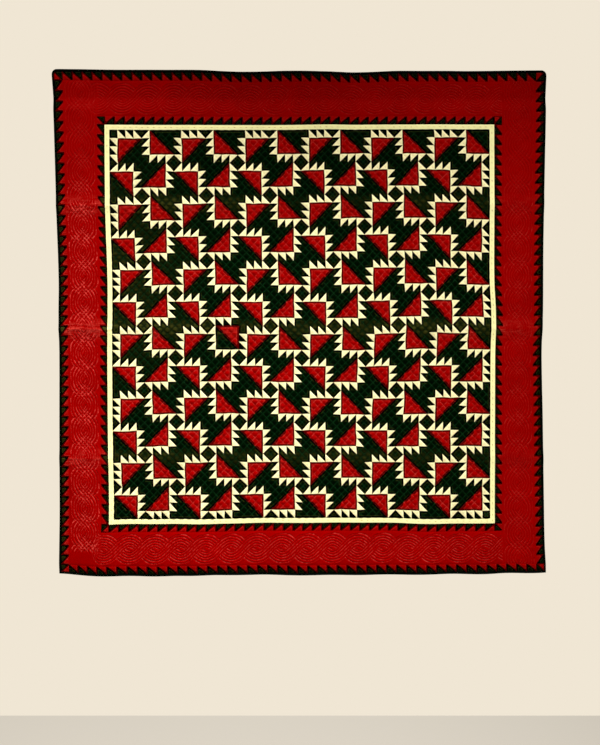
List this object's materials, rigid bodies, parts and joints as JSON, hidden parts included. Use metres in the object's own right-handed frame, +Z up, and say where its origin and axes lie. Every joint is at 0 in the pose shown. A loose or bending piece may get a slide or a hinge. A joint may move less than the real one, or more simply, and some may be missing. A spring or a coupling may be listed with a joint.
{
  "type": "patchwork quilt wall hanging",
  "caption": "Square patchwork quilt in red, dark green and cream cotton, hung by its top edge: pieced sawtooth centre, cream frame, red cable-quilted border, dark folded binding.",
  "frame": {"origin": "middle of the top edge, on the wall plane behind the quilt", "axes": "+Z up along the hanging cloth, +X to the right as seen from the front, +Y into the wall, so the front faces -Y"},
  "size_m": [1.9604, 0.0284, 2.0118],
  "materials": {
    "pieced_cloth": "matte plain-weave cotton patches in dark green, red and cream, quilted in crossed diagonal rows",
    "red_cloth": "matte plain-weave red cotton, quilted",
    "cream_cloth": "matte plain-weave cream cotton",
    "binding_cloth": "matte plain-weave very dark green cotton, folded"
  },
  "bodies": {
    "root": {"centre_field": "pieced_cloth", "frame_left": "cream_cloth", "frame_right": "cream_cloth", "frame_top": "cream_cloth", "frame_bottom": "cream_cloth", "inner_teeth_left": "pieced_cloth", "inner_teeth_right": "pieced_cloth", "inner_teeth_top": "pieced_cloth", "inner_teeth_bottom": "pieced_cloth", "red_border_left": "red_cloth", "red_border_right": "red_cloth", "red_border_top": "red_cloth", "red_border_bottom": "red_cloth", "outer_teeth_left": "pieced_cloth", "outer_teeth_right": "pieced_cloth", "outer_teeth_top": "pieced_cloth", "outer_teeth_bottom": "pieced_cloth", "binding_left": "binding_cloth", "binding_right": "binding_cloth", "binding_top": "binding_cloth", "binding_bottom": "binding_cloth"}
  },
  "joints": []
}
